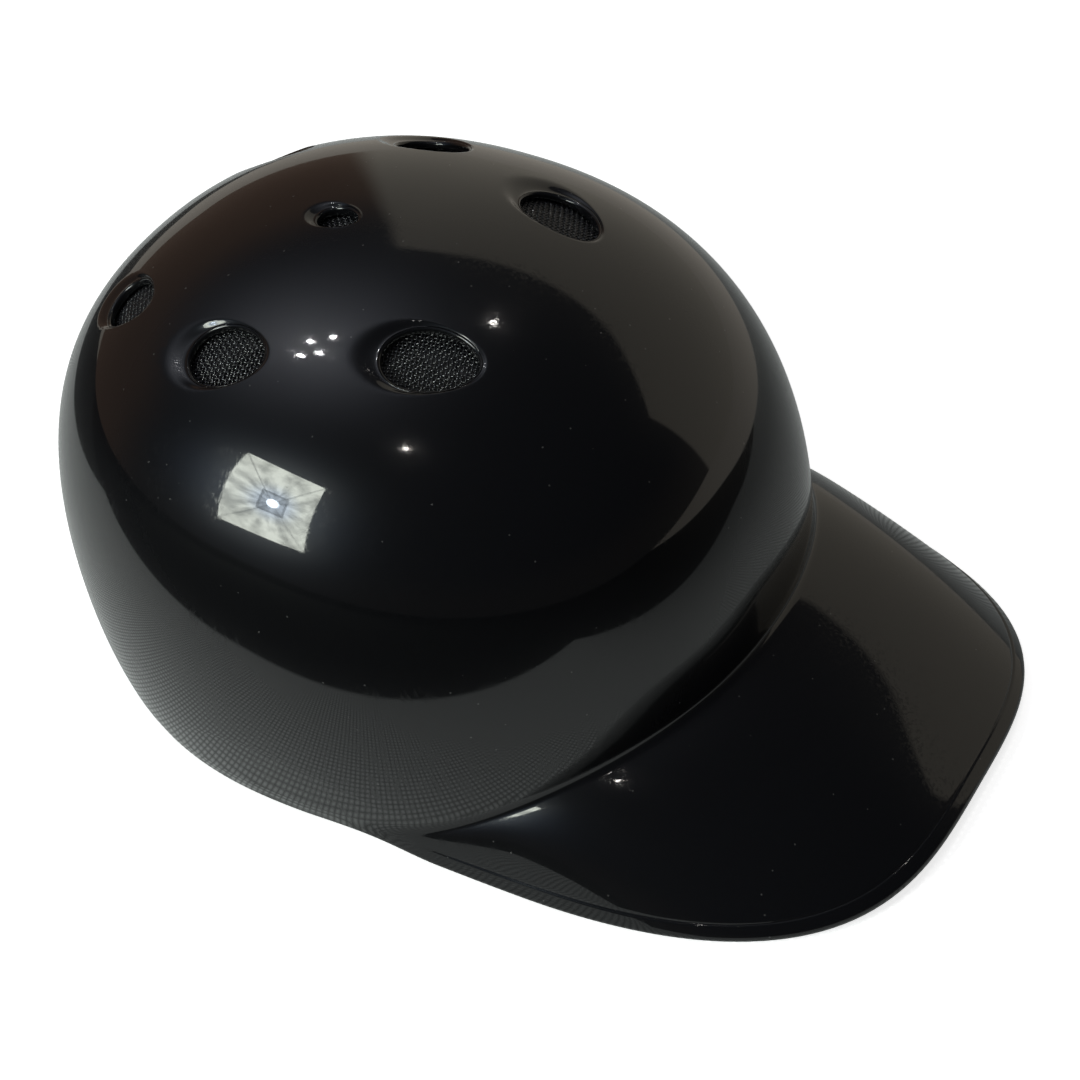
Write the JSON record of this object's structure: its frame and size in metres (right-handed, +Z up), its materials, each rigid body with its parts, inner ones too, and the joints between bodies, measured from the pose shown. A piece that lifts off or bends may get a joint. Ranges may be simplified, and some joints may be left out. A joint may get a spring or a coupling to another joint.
{
  "type": "cap-style coach helmet",
  "caption": "Glossy hard-shell skull cap helmet with a moulded visor, screened vents, foam liners and pull-off fit pads.",
  "frame": {"origin": "centre of the bounding box on the plane that the helmet stands on", "axes": "+Z up, the visor points along -Y, +X is the wearer's left"},
  "size_m": [0.204, 0.297, 0.1537],
  "materials": {
    "shell_plastic": "gloss black moulded shell",
    "screen_mesh": "coarse black woven mesh",
    "impact_foam": "closed-cell foam",
    "hook_tape": "hook tape",
    "pad_fabric": "knitted fabric over foam",
    "loop_fabric": "brushed loop fabric"
  },
  "bodies": {
    "helmet": {"shell": "shell_plastic", "front_right_vent_screen": "screen_mesh", "front_left_vent_screen": "screen_mesh", "mid_right_vent_screen": "screen_mesh", "mid_left_vent_screen": "screen_mesh", "rear_right_vent_screen": "screen_mesh", "rear_left_vent_screen": "screen_mesh", "crown_vent_screen": "screen_mesh", "crown_liner": "impact_foam", "front_liner": "impact_foam", "right_liner": "impact_foam", "left_liner": "impact_foam", "rear_liner": "impact_foam", "crown_hooks": "hook_tape", "front_hooks": "hook_tape", "right_hooks": "hook_tape", "left_hooks": "hook_tape", "rear_hooks": "hook_tape"},
    "crown_cushion": {"crown_pad": "pad_fabric", "crown_pad_backing": "loop_fabric"},
    "brow_cushion": {"brow_pad": "pad_fabric", "brow_pad_backing": "loop_fabric"},
    "right_temple_cushion": {"right_temple_pad": "pad_fabric", "right_temple_pad_backing": "loop_fabric"},
    "left_temple_cushion": {"left_temple_pad": "pad_fabric", "left_temple_pad_backing": "loop_fabric"},
    "nape_cushion": {"nape_pad": "pad_fabric", "nape_pad_backing": "loop_fabric"}
  },
  "joints": [
    {"name": "crown_pad_pull", "type": "slide", "parent": "helmet", "child": "crown_cushion", "axis": [0, 0, -1], "range_m": [0, 0.015]},
    {"name": "brow_pad_pull", "type": "slide", "parent": "helmet", "child": "brow_cushion", "axis": [0, 1, 0], "range_m": [0, 0.015]},
    {"name": "right_temple_pad_pull", "type": "slide", "parent": "helmet", "child": "right_temple_cushion", "axis": [1, 0, 0], "range_m": [0, 0.015]},
    {"name": "left_temple_pad_pull", "type": "slide", "parent": "helmet", "child": "left_temple_cushion", "axis": [-1, 0, 0], "range_m": [0, 0.015]},
    {"name": "nape_pad_pull", "type": "slide", "parent": "helmet", "child": "nape_cushion", "axis": [0, -1, 0], "range_m": [0, 0.015]}
  ]
}
